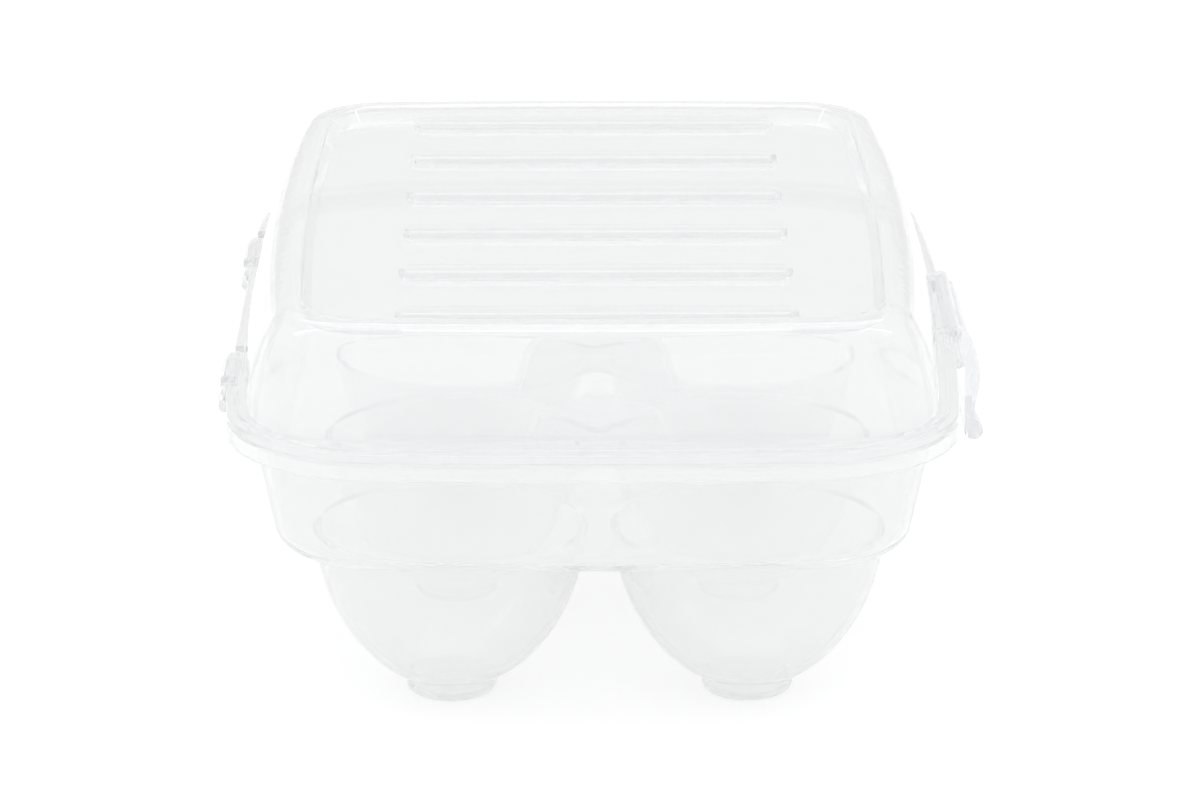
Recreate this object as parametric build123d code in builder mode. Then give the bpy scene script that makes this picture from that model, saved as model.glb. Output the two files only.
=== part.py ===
from build123d import *
from math import acos, asin, degrees
import os

# Egg keeper for six eggs: a clear tray of two by three cups, a clear lid that flips open
# about two hinges along one long side, and a flap latch on the other long side.
# +X points to the latch, +Y along the hinge line, +Z up.
# The origin is on the surface that the feet stand on, under the middle of the overall width.

# ---- driving dimensions, in millimetres ------------------------------------------------

# Egg cups
cup_pitch = 50.0
cup_columns = 2
cup_rows = 3
cup_radius = 23.3            # outside, at the widest height of the egg
cup_half_height = 31.7       # of the egg shape, along Z
cup_middle = 32.8            # height of the widest part of the egg shape
cup_shift = 1.1              # the cups stand this far nearer to the latch than the rim
cup_lip = 0.8                # rounding of the cup's mouth
foot_radius = 7.7
foot_edge = 1.8              # rounding under the foot
shell = 1.2                  # wall of the tray and of the lid

# Tub around the cups
tub_floor = 30.0             # top of the floor that the cups hang from
tub_half_width = 54.4        # outside, at the floor
tub_half_length = 76.0
tub_corner = 18.0
tub_slope = 0.2              # the wall leans out this much for each unit of height
tub_edge = 4.5               # rounding under the tub

# Posts between the cups
post_reach = 17.1            # from the middle to each of the four tips before rounding, at its foot
post_top_reach = 12.8
post_height = 11.8
post_dish = 1.0              # how far each side is hollowed towards the egg
post_tip = 2.0               # rounding of the tips
post_crown = 0.9             # rounding of the top

# Rim of the tray and the lid flange that rests on it
rim_half_width = 62.4
rim_half_length = 85.0
rim_corner = 27.0
rim_top = 51.1
rim_plate = 1.1
rim_drop = 3.3               # height of the rim with its skirt
rim_skirt = 1.2
rim_edge = 0.35              # rounding of the rim's and the flange's outer edges
rim_trim = 61.2              # the hinge side is cut straight here
rim_bow = (3.4, 1.9)         # the long sides and the short ends bulge by this much
seat_gap = 0.1               # between the closed lid and the rim
flange = 1.25
flange_step = 0.5            # raised band of the flange along the lid wall
flange_margin = 1.7          # width of the flange outside the raised band
flange_round = 0.25          # rounding of the raised band

# Lid
lid_rise = 20.4              # from the rim's top to the crest of the rolled border
shoulder_rise = 13.9         # from the rim's top to where the wall starts to lean in more
lid_foot = (59.7, 78.3, 17.0)      # half width, half length and corner of the wall, outside
lid_shoulder = (56.9, 77.4, 15.5)
lid_crest = (53.6, 76.9, 14.0)
lid_roll = 4.5               # rounding of the border's outer side
panel_half_width = 47.8
panel_half_length = 69.5
panel_corner = 9.0
panel_bow = (2.0, 2.2)
panel_sink = 2.1             # depth of the panel below the border
panel_bank = 1.4             # width of the slope down to the panel
panel_crest = 1.0            # rounding where the slope meets the border

# Ribs on the panel
rib_count = 6
rib_pitch = 25.0
rib_length = 66.4
rib_width = 6.0
rib_height = 1.3
rib_round = 0.9
rib_wall = 1.1
rib_shift = 0.6              # the ribs lie this far nearer to the latch than the rim

# Hinges
hinge_spacing = 73.2         # between the middles of the two hinges
hinge_shift = 2.5            # both hinges sit this far to the rear of the middle
hinge_length = 23.0
hinge_axis_out = 61.3        # from the middle of the rim
hinge_axis_drop = 1.1        # below the rim's top
knuckle_radius = 1.5
knuckle_chamfer = 0.6        # of the hinge blocks' outer corners
lid_knuckle_length = 11.0
knuckle_gap = 0.4            # between neighbouring knuckles, and around them
hinge_pin_radius = 0.7
pin_grip = 0.02              # radial clearance where a pin is held
pin_run = 0.08               # radial clearance where something turns on a pin
pin_inset = 0.5              # the pin's ends lie this far inside the outer knuckles

# Latch
latch_width = 28.0
latch_axis_out = 62.3        # from the middle of the rim
latch_axis_rise = 1.75       # above the rim's top
latch_barrel = 1.45          # radius
latch_gap = 0.4              # between the latch and the lid around it
ear_radius = 1.5
ear_length = 3.0
ear_foot = 3.4               # the ears slope down to the flange over this width
latch_pin_radius = 0.7
# The flap's outline, from the pin outwards and upwards
latch_outside = [(0.7, 1.05), (2.5, -0.25), (3.7, -2.45), (4.7, -5.45), (5.1, -8.45),
                 (4.8, -11.65), (4.3, -14.45), (4.7, -16.95)]
latch_inside = [(2.6, -17.85), (2.55, -11.85), (2.4, -6.35), (1.9, -2.85), (0.4, -0.65)]
latch_lip_out = 4.15         # middle of the thick finger lip
latch_lip_drop = 18.45
latch_lip_radius = 1.7
latch_scoop = 1.4            # the lip is hollowed by this much in its middle, for a fingertip
latch_bead_out = 1.3
latch_bead_drop = 6.45
latch_bead_radius = 0.8      # snaps under the rim
latch_bead_web = 1.0

overshoot = 1.0              # a cut reaches this far past what it cuts

# ---- values that follow ----------------------------------------------------------------

tub_underside = tub_floor - shell
rim_bottom = rim_top - rim_drop
flange_bottom = rim_top + seat_gap
flange_top = flange_bottom + flange
lid_top = rim_top + lid_rise
shoulder_height = rim_top + shoulder_rise
hinge_axis_height = rim_top - hinge_axis_drop
latch_axis_height = rim_top + latch_axis_rise
latch_outreach = latch_axis_out + latch_lip_out + latch_lip_radius
body_x = (hinge_axis_out + knuckle_radius - latch_outreach) / 2
cup_x = body_x + cup_shift
hinge_positions = [hinge_shift - hinge_spacing / 2, hinge_shift + hinge_spacing / 2]
notch_depth = hinge_axis_out - knuckle_radius - knuckle_gap
tray_knuckle_length = (hinge_length - lid_knuckle_length) / 2 - knuckle_gap
tray_knuckle_offset = (hinge_length - tray_knuckle_length) / 2
latch_opening = latch_width + 2 * latch_gap
latch_notch_depth = latch_axis_out - latch_barrel - latch_gap
latch_pin_length = latch_opening + 2 * ear_length
latch_half = latch_width / 2
latch_scoop_radius = (latch_half ** 2 + latch_scoop ** 2) / (2 * latch_scoop)


def level(height):
    """Horizontal plane through the vertical centre line of tray and lid."""
    return Plane((body_x, 0, height))


def across(y):
    """Upright plane across the hinge line: its x is +X and its y is +Z."""
    return Plane((body_x, y, 0), x_dir=(1, 0, 0), z_dir=(0, -1, 0))


def across_latch(y):
    """The same plane with its origin on the latch's pin line."""
    return Plane((body_x + latch_axis_out, y, latch_axis_height), x_dir=(1, 0, 0), z_dir=(0, -1, 0))


def bowed(half_width, half_length, corner, bow=rim_bow):
    """Rounded rectangle whose four sides bulge outwards."""
    x = half_width - bow[0]
    y = half_length - bow[1]
    with BuildSketch() as shape:
        with BuildLine():
            ThreePointArc((-x, -y), (0, -half_length), (x, -y))
            ThreePointArc((x, -y), (half_width, 0), (x, y))
            ThreePointArc((x, y), (0, half_length), (-x, y))
            ThreePointArc((-x, y), (-half_width, 0), (-x, -y))
        make_face()
        fillet(shape.vertices(), corner)
    return shape.sketch


def rim_outline(height, inset=0.0):
    """Outline of rim and flange: bowed, with its hinge side cut straight."""
    with BuildSketch(level(height)) as shape:
        add(bowed(rim_half_width, rim_half_length, rim_corner))
        with Locations((-rim_trim, 0)):
            Rectangle(rim_half_width, 2 * rim_half_length, align=(Align.MAX, Align.CENTER),
                      mode=Mode.SUBTRACT)
        if inset:
            offset(amount=-inset, kind=Kind.INTERSECTION)
    return shape.sketch


def tub_section(height, inset=0.0):
    """Section of the tub at a height, or of its cavity when inset by the wall."""
    out = (height - tub_underside) * tub_slope - inset
    return level(height) * bowed(tub_half_width + out, tub_half_length + out, tub_corner + out)


def lid_section(height, inset=0.0):
    """Section of the lid's wall at a height, or of its cavity when inset by the wall."""
    low, foot, high, head = flange_bottom, lid_foot, shoulder_height, lid_shoulder
    if height > shoulder_height:
        low, foot, high, head = shoulder_height, lid_shoulder, lid_top, lid_crest
    share = (height - low) / (high - low)
    half_width, half_length, corner = [a + (b - a) * share - inset for a, b in zip(foot, head)]
    return level(height) * bowed(half_width, half_length, corner)


def panel_section(height, grow):
    """Outline of the sunk panel, grown outwards."""
    return level(height) * bowed(panel_half_width + grow, panel_half_length + grow,
                                 panel_corner + grow, panel_bow)


def post_section(height, reach):
    """Four-pointed section of a post, its sides hollowed towards the eggs around it."""
    mid = reach / 2 - post_dish / 2 ** 0.5
    with BuildSketch(Plane.XY.offset(height)) as shape:
        with BuildLine():
            ThreePointArc((reach, 0), (mid, mid), (0, reach))
            ThreePointArc((0, reach), (-mid, mid), (-reach, 0))
            ThreePointArc((-reach, 0), (-mid, -mid), (0, -reach))
            ThreePointArc((0, -reach), (mid, -mid), (reach, 0))
        make_face()
        fillet(shape.vertices(), post_tip)
    return shape.sketch


def egg_cup(inset, lip):
    """Solid of revolution of a cup and its foot, or of their hollow when inset by the wall."""
    radius = cup_radius - inset
    half_height = cup_half_height - inset
    foot = foot_radius - inset
    edge = foot_edge - inset
    start = acos(foot / radius)
    finish = asin((tub_floor - lip - cup_middle) / half_height)
    with BuildPart() as cup:
        with BuildSketch(Plane.XZ):
            with BuildLine():
                Line((0, inset), (foot - edge, inset))
                RadiusArc((foot - edge, inset), (foot, inset + edge), -edge)
                wall = EllipticalCenterArc((0, cup_middle), radius, half_height,
                                           start_angle=-degrees(start), arc_size=degrees(start + finish))
                Line((foot, inset + edge), wall @ 0)
                mouth = wall @ 1 + Vector(lip, lip)
                if lip:
                    RadiusArc(wall @ 1, mouth, lip)
                Line(mouth, (0, tub_floor))
                Line((0, tub_floor), (0, inset))
            make_face()
        revolve(axis=Axis.Z)
    return cup.part


def knuckle(y, length, radius, mode=Mode.ADD):
    """Cylinder about the hinge line, or a bore along it."""
    with BuildSketch(across(y)) as shape:
        with Locations((-hinge_axis_out, hinge_axis_height)):
            Circle(radius)
    extrude(shape.sketch, amount=length / 2, both=True, mode=mode)


def hinge_block(y, length, outer, inner):
    """Block from a knuckle to the outer or inner height of the rim or flange it belongs to."""
    out = hinge_axis_out + knuckle_radius
    step = knuckle_chamfer if outer > hinge_axis_height else -knuckle_chamfer
    with BuildSketch(across(y)) as shape:
        with BuildLine():
            Polyline((-out, hinge_axis_height), (-out, outer - step), (knuckle_chamfer - out, outer),
                     (-notch_depth, outer), (-notch_depth, inner), (-hinge_axis_out, inner),
                     (-hinge_axis_out, hinge_axis_height), close=True)
        make_face()
    extrude(shape.sketch, amount=length / 2, both=True)


def notch(y, width, low, high):
    """Cuts a rim or flange back around a knuckle that belongs to the other half."""
    with BuildSketch(across(y)) as shape:
        with BuildLine():
            Polyline((-rim_half_width, low), (-notch_depth, low), (-notch_depth, high),
                     (-rim_half_width, high), close=True)
        make_face()
    extrude(shape.sketch, amount=width / 2, both=True, mode=Mode.SUBTRACT)


def latch_cylinder(radius, length, mode=Mode.ADD):
    """Cylinder about the latch's pin line, or a bore along it."""
    with BuildSketch(across_latch(0)) as shape:
        Circle(radius)
    extrude(shape.sketch, amount=length / 2, both=True, mode=mode)


# ---- tray: tub, six cups with feet, two posts, rim and its half of the hinges ------------

with Locations((cup_x, 0)):
    cup_places = GridLocations(cup_pitch, cup_pitch, cup_columns, cup_rows)
    post_places = GridLocations(cup_pitch, cup_pitch, cup_columns - 1, cup_rows - 1)

with BuildPart() as tub_hollow:
    loft([tub_section(tub_floor, shell), tub_section(rim_top + overshoot, shell)])
    fillet(tub_hollow.faces().sort_by(Axis.Z)[0].edges(), tub_edge - shell)

with BuildPart() as post:
    loft([post_section(tub_underside, post_reach), post_section(tub_floor + post_height, post_top_reach)])
    fillet(post.faces().sort_by(Axis.Z)[-1].edges(), post_crown)

with BuildPart() as post_hollow:
    loft([post_section(tub_underside, post_reach - shell),
          post_section(tub_floor + post_height - shell, post_top_reach - shell)])

with BuildPart() as tray:
    extrude(rim_outline(rim_bottom), amount=rim_drop)
    fillet(tray.edges().group_by(Axis.Z)[0] + tray.edges().group_by(Axis.Z)[-1], rim_edge)
    extrude(rim_outline(rim_bottom, rim_skirt), amount=rim_drop - rim_plate, mode=Mode.SUBTRACT)
    loft([tub_section(tub_underside), tub_section(rim_top)])
    fillet(tray.faces().sort_by(Axis.Z)[0].edges(), tub_edge)
    with cup_places:
        add(egg_cup(0, 0))
    add(tub_hollow.part, mode=Mode.SUBTRACT)
    with cup_places:
        add(egg_cup(shell, cup_lip), mode=Mode.SUBTRACT)
    with post_places:
        add(post.part)
        add(post_hollow.part, mode=Mode.SUBTRACT)
    for y in hinge_positions:
        notch(y, lid_knuckle_length + 2 * knuckle_gap, rim_bottom, rim_top)
        for side in (-1, 1):
            knuckle_y = y + side * tray_knuckle_offset
            knuckle(knuckle_y, tray_knuckle_length, knuckle_radius)
            hinge_block(knuckle_y, tray_knuckle_length, rim_bottom, rim_top)
        knuckle(y, hinge_length, hinge_pin_radius + pin_grip, mode=Mode.SUBTRACT)


# ---- lid: flange, wall, rolled border, sunk panel with ribs, its half of the hinges, ears --

panel_top = lid_top - panel_sink
panel_underside = panel_top - shell
rib_x = body_x + rib_shift

with BuildPart() as lid_hollow:
    loft([lid_section(flange_bottom - overshoot, shell), lid_section(shoulder_height, shell),
          lid_section(lid_top - shell, shell)])
    fillet(lid_hollow.faces().sort_by(Axis.Z)[-1].edges(), lid_roll - shell)
    loft([panel_section(panel_underside, shell / 2), panel_section(lid_top, panel_bank + shell)],
         mode=Mode.SUBTRACT)

with BuildPart() as rib:
    with BuildSketch(Plane.XY):
        SlotOverall(rib_length, rib_width)
    extrude(amount=rib_height)
    fillet(rib.faces().sort_by(Axis.Z)[-1].edges(), rib_round)
    extrude(rib.faces().sort_by(Axis.Z)[0], amount=shell / 2)

with BuildPart() as rib_hollow:
    with BuildSketch(Plane.XY):
        SlotOverall(rib_length - 2 * rib_wall, rib_width - 2 * rib_wall)
    extrude(amount=shell + rib_height - rib_wall)

with BuildPart() as lid_flange:
    extrude(rim_outline(flange_bottom), amount=flange)
    fillet(lid_flange.edges().group_by(Axis.Z)[-1], rim_edge)
    extrude(rim_outline(flange_top, flange_margin), amount=flange_step)
    fillet(lid_flange.edges().group_by(Axis.Z)[-1], flange_round)
    with Locations((body_x + latch_notch_depth, 0, flange_bottom)):
        Box(rim_half_width, latch_opening, 2 * flange, align=(Align.MIN, Align.CENTER, Align.MIN),
            mode=Mode.SUBTRACT)

with BuildPart() as lid:
    loft([lid_section(flange_bottom), lid_section(shoulder_height), lid_section(lid_top)])
    fillet(lid.faces().sort_by(Axis.Z)[-1].edges(), lid_roll)
    loft([panel_section(panel_top, 0), panel_section(lid_top, panel_bank)], mode=Mode.SUBTRACT)
    fillet(lid.faces().filter_by(Plane.XY).sort_by(Axis.Z)[-1].edges(), panel_crest)
    with Locations((rib_x, 0, panel_top)):
        with GridLocations(0, rib_pitch, 1, rib_count):
            add(rib.part)
    add(lid_flange.part)
    for y in hinge_positions:
        for side in (-1, 1):
            notch(y + side * (tray_knuckle_offset + knuckle_gap / 2), tray_knuckle_length + knuckle_gap,
                  flange_bottom, flange_top)
        knuckle(y, lid_knuckle_length, knuckle_radius)
        hinge_block(y, lid_knuckle_length, flange_top, flange_bottom)
        knuckle(y, lid_knuckle_length, hinge_pin_radius + pin_run, mode=Mode.SUBTRACT)
    for side in (-1, 1):
        with BuildSketch(across_latch(side * (latch_opening + ear_length) / 2)):
            with BuildLine():
                Polyline((0, ear_radius), (-ear_foot, flange_top - latch_axis_height),
                         (0, flange_top - latch_axis_height), close=True)
            make_face()
            Circle(ear_radius)
        extrude(amount=ear_length / 2, both=True)
    latch_cylinder(latch_pin_radius + pin_grip, latch_pin_length, mode=Mode.SUBTRACT)
    add(lid_hollow.part, mode=Mode.SUBTRACT)
    with Locations((rib_x, 0, panel_underside)):
        with GridLocations(0, rib_pitch, 1, rib_count):
            add(rib_hollow.part, mode=Mode.SUBTRACT)


# ---- latch flap: barrel, curved blade, bead and finger lip -------------------------------

with BuildPart() as latch_flap:
    with BuildSketch(across_latch(0)):
        with BuildLine():
            outside = Spline(*latch_outside)
            inside = Spline(*latch_inside)
            Line(outside @ 1, inside @ 0)
            Line(inside @ 1, outside @ 0)
        make_face()
        Circle(latch_barrel)
        with Locations((latch_lip_out, -latch_lip_drop)):
            Circle(latch_lip_radius)
        with Locations((latch_bead_out, -latch_bead_drop)):
            Circle(latch_bead_radius)
            Rectangle(2 * latch_bead_radius, latch_bead_web, align=(Align.MIN, Align.CENTER))
    extrude(amount=latch_half, both=True)
    latch_cylinder(latch_pin_radius + pin_run, latch_width, mode=Mode.SUBTRACT)
    with Locations((body_x + latch_outreach - latch_scoop + latch_scoop_radius, 0,
                    latch_axis_height - latch_lip_drop)):
        Cylinder(latch_scoop_radius, 4 * latch_lip_radius, mode=Mode.SUBTRACT)


# ---- pins --------------------------------------------------------------------------------

with BuildPart() as front_hinge_pin:
    knuckle(hinge_positions[0], hinge_length - 2 * pin_inset, hinge_pin_radius)
with BuildPart() as rear_hinge_pin:
    knuckle(hinge_positions[1], hinge_length - 2 * pin_inset, hinge_pin_radius)
with BuildPart() as latch_pin:
    latch_cylinder(latch_pin_radius, latch_pin_length - 2 * pin_inset)


os.makedirs("parts", exist_ok=True)
pieces = {
    "tray": tray,
    "lid": lid,
    "latch_flap": latch_flap,
    "front_hinge_pin": front_hinge_pin,
    "rear_hinge_pin": rear_hinge_pin,
    "latch_pin": latch_pin,
}
for name, piece in pieces.items():
    piece.part.label = name
    export_step(piece.part, f"parts/{name}.step")
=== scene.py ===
"""Looks of an egg keeper for six eggs: a clear tray of cups, a clear flip lid and a flap latch."""

import math

import bpy
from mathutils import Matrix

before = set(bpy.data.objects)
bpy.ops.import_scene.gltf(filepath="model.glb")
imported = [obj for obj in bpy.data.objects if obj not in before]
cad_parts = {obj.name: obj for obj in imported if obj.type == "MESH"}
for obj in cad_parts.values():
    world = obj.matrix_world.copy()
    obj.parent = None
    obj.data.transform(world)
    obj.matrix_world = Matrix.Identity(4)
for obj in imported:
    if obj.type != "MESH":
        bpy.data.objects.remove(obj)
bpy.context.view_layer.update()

# ---- tray ------------------------------------------------------------------------------
# Tub, six egg cups with feet, two posts, the rim and half of each hinge, moulded in one shot
# from clear polypropylene. The wall is about 1.2 mm thick and glossy, with a little milkiness in
# it and a little haze from the mould's polish.

tray_tint = (0.977, 0.983, 0.982)
tray_soak = (0.80, 0.83, 0.92)
wall_ripple = 0.02           # metres from one slow wave of a large wall to the next
mould_grain = 0.0006         # metres from one grain of the mould's skin to the next


def clear_plastic(name, tint, soak, ripple, grain):
    """Clear moulded plastic. soak is the colour it takes on with depth, ripple and grain are in metres."""
    body_index = 1.1             # lower than the plastic's own 1.49, for a soft, even clearness
    clearness = 0.74             # what isn't clear is milky
    gloss_index = 1.49           # of the glossy skin
    gloss_blur = 0.05
    finest_polish, dullest_polish = 0.035, 0.075
    haze_size = 4 * ripple
    wave_depth, wave_share = 0.0004, 0.008
    skin_depth, skin_share = 0.00002, 0.1
    passed_on = 0.95             # of the light that falls on one face of the wall
    soak_density = 6

    material = bpy.data.materials.new(name)
    material.use_nodes = True
    nodes = material.node_tree.nodes
    links = material.node_tree.links
    shader = nodes["Principled BSDF"]
    shader.inputs["Base Color"].default_value = (*tint, 1)
    shader.inputs["IOR"].default_value = body_index
    shader.inputs["Transmission Weight"].default_value = clearness
    shader.inputs["Coat Weight"].default_value = 1
    shader.inputs["Coat IOR"].default_value = gloss_index
    shader.inputs["Coat Roughness"].default_value = gloss_blur

    place = nodes.new("ShaderNodeTexCoord")

    # Haze: the mould's polish varies slowly over the surface.
    haze = nodes.new("ShaderNodeTexNoise")
    haze.inputs["Scale"].default_value = 1 / haze_size
    haze.inputs["Detail"].default_value = 3
    polish = nodes.new("ShaderNodeMapRange")
    polish.inputs["To Min"].default_value = finest_polish
    polish.inputs["To Max"].default_value = dullest_polish
    links.new(place.outputs["Object"], haze.inputs["Vector"])
    links.new(haze.outputs["Fac"], polish.inputs["Value"])
    links.new(polish.outputs["Result"], shader.inputs["Roughness"])

    # Ripple: the slow unevenness of a thin wall that has shrunk as it cooled, and its fine grain.
    wave = nodes.new("ShaderNodeTexNoise")
    wave.inputs["Scale"].default_value = 1 / ripple
    wave.inputs["Detail"].default_value = 1
    skin = nodes.new("ShaderNodeTexNoise")
    skin.inputs["Scale"].default_value = 1 / grain
    wave_bump = nodes.new("ShaderNodeBump")
    wave_bump.inputs["Strength"].default_value = wave_share
    wave_bump.inputs["Distance"].default_value = wave_depth
    skin_bump = nodes.new("ShaderNodeBump")
    skin_bump.inputs["Strength"].default_value = skin_share
    skin_bump.inputs["Distance"].default_value = skin_depth
    links.new(place.outputs["Object"], wave.inputs["Vector"])
    links.new(place.outputs["Object"], skin.inputs["Vector"])
    links.new(wave.outputs["Fac"], wave_bump.inputs["Height"])
    links.new(skin.outputs["Fac"], skin_bump.inputs["Height"])
    links.new(wave_bump.outputs["Normal"], skin_bump.inputs["Normal"])
    links.new(skin_bump.outputs["Normal"], shader.inputs["Normal"])

    # Lamps and the white room light what is inside and below the thin wall, right through it.
    through = nodes.new("ShaderNodeBsdfTransparent")
    through.inputs["Color"].default_value = (passed_on, passed_on, passed_on, 1)
    ray = nodes.new("ShaderNodeLightPath")
    lights = nodes.new("ShaderNodeMath")
    lights.operation = "MAXIMUM"
    wall = nodes.new("ShaderNodeMixShader")
    links.new(ray.outputs["Is Shadow Ray"], lights.inputs[0])
    links.new(ray.outputs["Is Diffuse Ray"], lights.inputs[1])
    links.new(lights.outputs[0], wall.inputs["Fac"])
    links.new(shader.outputs[0], wall.inputs[1])
    links.new(through.outputs[0], wall.inputs[2])
    links.new(wall.outputs[0], nodes["Material Output"].inputs["Surface"])

    # Depth: where the eye looks along a wall, as at rims and edges, it is a little bluer.
    depth = nodes.new("ShaderNodeVolumeAbsorption")
    depth.inputs["Color"].default_value = (*soak, 1)
    depth.inputs["Density"].default_value = soak_density
    links.new(depth.outputs["Volume"], nodes["Material Output"].inputs["Volume"])
    return material


def finish_solid(node, material):
    """Gives a solid of the frame its finish."""
    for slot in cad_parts[node].material_slots:
        slot.material = material


finish_solid("tray", clear_plastic("tray_plastic", tray_tint, tray_soak, wall_ripple, mould_grain))

# ---- hinge pins ------------------------------------------------------------------------
# Two straight clear pins, 1.4 mm thick, one in each hinge on the tray's long side. They are
# pushed in from the end, held by the tray's knuckles, and the lid's knuckle turns on them.

pin_tint = (0.980, 0.984, 0.991)
pin_soak = (0.80, 0.82, 0.93)
small_ripple = 0.01          # metres, on small pieces

pin_plastic = clear_plastic("pin_plastic", pin_tint, pin_soak, small_ripple, mould_grain)
finish_solid("front_hinge_pin", pin_plastic)
finish_solid("rear_hinge_pin", pin_plastic)

# ---- lid -------------------------------------------------------------------------------
# Flip lid with leaning walls, a rolled border around a sunk panel with six stiffening ribs, and
# a flange that lies on the tray's rim. It is moulded in one with its knuckles and latch ears, from
# the same plastic as the tray but a shade more neutral.

lid_tint = (0.982, 0.984, 0.987)
lid_soak = (0.80, 0.82, 0.92)

finish_solid("lid", clear_plastic("lid_plastic", lid_tint, lid_soak, wall_ripple, mould_grain))

# ---- latch flap ------------------------------------------------------------------------
# Curved flap with a thick finger lip, moulded on its own and a shade bluer. It swings on a clear
# pin that the lid's two ears hold, and its bead snaps under the tray's rim.

latch_tint = (0.978, 0.983, 0.992)
latch_soak = (0.80, 0.82, 0.93)

finish_solid("latch_flap", clear_plastic("latch_plastic", latch_tint, latch_soak, small_ripple, mould_grain))
finish_solid("latch_pin", pin_plastic)

# ---- floor -----------------------------------------------------------------------------
# White paper floor under the keeper. To the eye it shines a little by itself, so that it is pure
# white all round and darkens only in the keeper's shadow.

floor_size = 6
floor_white = 0.95
shine_seen = 0.13            # added where the floor is looked at directly
shine_mirrored = 0.03        # added where it is seen in or through the plastic

bpy.ops.object.select_all(action="DESELECT")
bpy.ops.mesh.primitive_plane_add(size=floor_size, location=(0, 0, 0))
floor = bpy.context.object
floor.name = "floor"
floor_paint = bpy.data.materials.new("floor_paint")
floor_paint.use_nodes = True
nodes = floor_paint.node_tree.nodes
links = floor_paint.node_tree.links
nodes.remove(nodes["Principled BSDF"])
matt = nodes.new("ShaderNodeBsdfDiffuse")
matt.inputs["Color"].default_value = (floor_white, floor_white, floor_white, 1)
shine = nodes.new("ShaderNodeEmission")
ray = nodes.new("ShaderNodeLightPath")
mirrored = nodes.new("ShaderNodeMath")
mirrored.operation = "MAXIMUM"
faint = nodes.new("ShaderNodeMath")
faint.operation = "MULTIPLY"
faint.inputs[1].default_value = shine_mirrored
strength = nodes.new("ShaderNodeMath")
strength.operation = "MULTIPLY_ADD"
strength.inputs[1].default_value = shine_seen
both = nodes.new("ShaderNodeAddShader")
links.new(ray.outputs["Is Glossy Ray"], mirrored.inputs[0])
links.new(ray.outputs["Is Transmission Ray"], mirrored.inputs[1])
links.new(mirrored.outputs[0], faint.inputs[0])
links.new(ray.outputs["Is Camera Ray"], strength.inputs[0])
links.new(faint.outputs[0], strength.inputs[2])
links.new(strength.outputs[0], shine.inputs["Strength"])
links.new(matt.outputs[0], both.inputs[0])
links.new(shine.outputs[0], both.inputs[1])
links.new(both.outputs[0], nodes["Material Output"].inputs["Surface"])
floor.data.materials.append(floor_paint)

# ---- light and backdrop ----------------------------------------------------------------
# A white room all round gives nearly all the light. What is seen, mirrored or looked through to
# is its white sweep, which is a little dimmer overhead.

room_level = 1.02
sweep_level, overhead_level = 1.0, 0.92
dimmer_from, dimmest_at = 0.35, 0.8    # upward share of the direction looked in

world = bpy.data.worlds.new("studio")
bpy.context.scene.world = world
world.use_nodes = True
nodes = world.node_tree.nodes
links = world.node_tree.links
room = nodes["Background"]
room.inputs["Color"].default_value = (1, 1, 1, 1)
room.inputs["Strength"].default_value = room_level
sweep = nodes.new("ShaderNodeBackground")
direction = nodes.new("ShaderNodeTexCoord")
split = nodes.new("ShaderNodeSeparateXYZ")
height = nodes.new("ShaderNodeMapRange")
height.inputs["From Min"].default_value = dimmer_from
height.inputs["From Max"].default_value = dimmest_at
height.inputs["To Min"].default_value = sweep_level
height.inputs["To Max"].default_value = overhead_level
ray = nodes.new("ShaderNodeLightPath")
mirrored = nodes.new("ShaderNodeMath")
mirrored.operation = "MAXIMUM"
seen = nodes.new("ShaderNodeMath")
seen.operation = "MAXIMUM"
pick = nodes.new("ShaderNodeMixShader")
links.new(direction.outputs["Generated"], split.inputs[0])
links.new(split.outputs["Z"], height.inputs["Value"])
links.new(height.outputs["Result"], sweep.inputs["Strength"])
links.new(ray.outputs["Is Camera Ray"], mirrored.inputs[0])
links.new(ray.outputs["Is Glossy Ray"], mirrored.inputs[1])
links.new(mirrored.outputs[0], seen.inputs[0])
links.new(ray.outputs["Is Transmission Ray"], seen.inputs[1])
links.new(seen.outputs[0], pick.inputs["Fac"])
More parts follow.
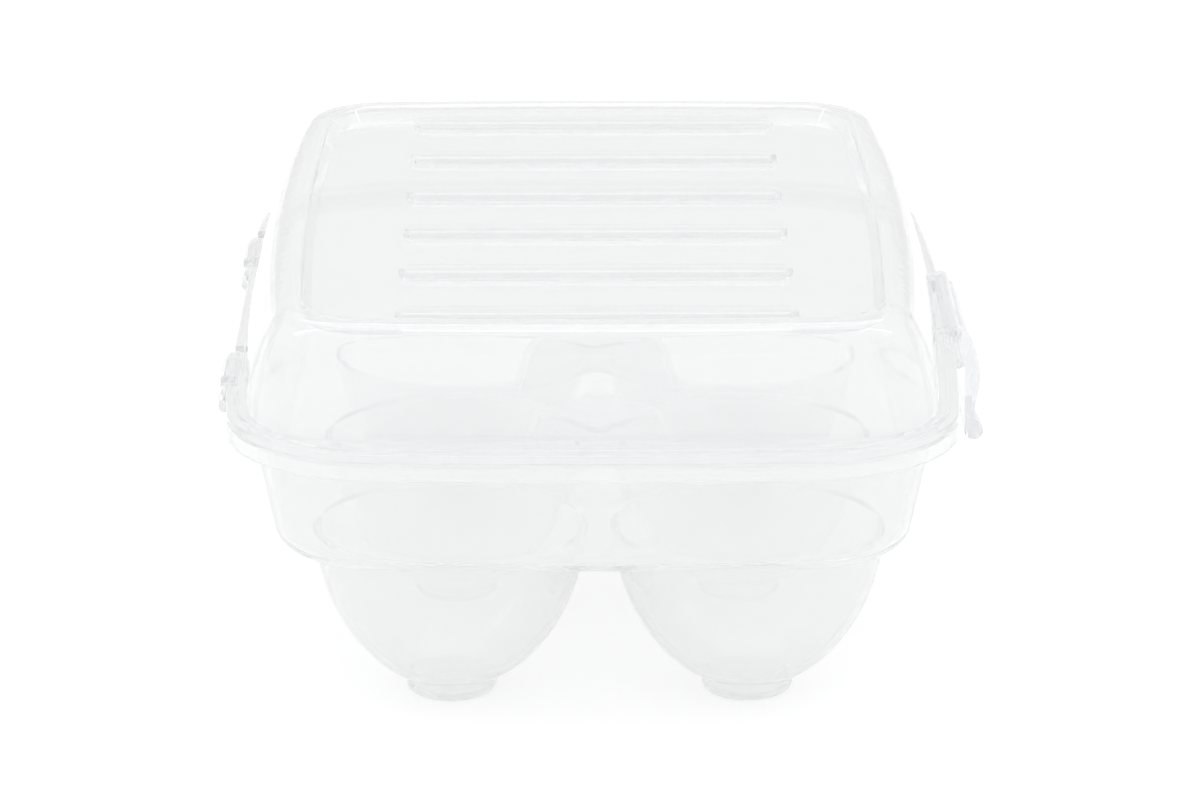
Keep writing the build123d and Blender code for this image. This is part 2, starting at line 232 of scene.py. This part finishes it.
links.new(room.outputs[0], pick.inputs[1])
links.new(sweep.outputs[0], pick.inputs[2])
links.new(pick.outputs[0], nodes["World Output"].inputs["Surface"])

# A large soft box overhead that only shows as gloss, and a narrow strip light on each side.
for name, place, width, length, watts, lights_matt in (
    ("overhead_softbox", (0.0, 0.35, 1.1), 1.2, 0.9, 4.0, False),
    ("left_strip", (-0.9, 0.0, 0.8), 0.06, 0.8, 0.5, True),
    ("right_strip", (0.9, 0.0, 0.8), 0.06, 0.8, 0.5, True),
):
    lamp = bpy.data.lights.new(name, "AREA")
    lamp.shape = "RECTANGLE"
    lamp.size = width
    lamp.size_y = length
    lamp.energy = watts
    softbox = bpy.data.objects.new(name, lamp)
    bpy.context.collection.objects.link(softbox)
    softbox.location = place
    softbox.rotation_euler = (-softbox.location).to_track_quat("-Z", "Y").to_euler()
    softbox.visible_camera = False
    softbox.visible_diffuse = lights_matt

# ---- camera ----------------------------------------------------------------------------
# A long lens about a metre away looks down a little on the keeper's short end, with the ribs
# running across, the hinges on the left and the latch on the right.

aim_point = (-0.00115, 0.0, 0.03565)
camera_distance = 0.9993
camera_elevation = math.radians(17.226)
camera_turn = math.radians(-0.369)
lens_length = 170.09         # millimetres
sensor_width = 36            # millimetres

camera = bpy.data.objects.new("camera", bpy.data.cameras.new("camera"))
bpy.context.collection.objects.link(camera)
reach = camera_distance * math.cos(camera_elevation)
camera.location = (
    aim_point[0] + reach * math.sin(camera_turn),
    aim_point[1] - reach * math.cos(camera_turn),
    aim_point[2] + camera_distance * math.sin(camera_elevation),
)
camera.rotation_euler = (math.pi / 2 - camera_elevation, 0, camera_turn)
camera.data.lens = lens_length
camera.data.sensor_width = sensor_width
bpy.context.scene.camera = camera

bpy.context.scene.view_settings.view_transform = "Standard"

# Light passes many thin walls on its way, so it may bend and bounce often.
bpy.context.scene.cycles.max_bounces = 24
bpy.context.scene.cycles.transmission_bounces = 24
bpy.context.scene.cycles.glossy_bounces = 12
bpy.context.scene.cycles.transparent_max_bounces = 64
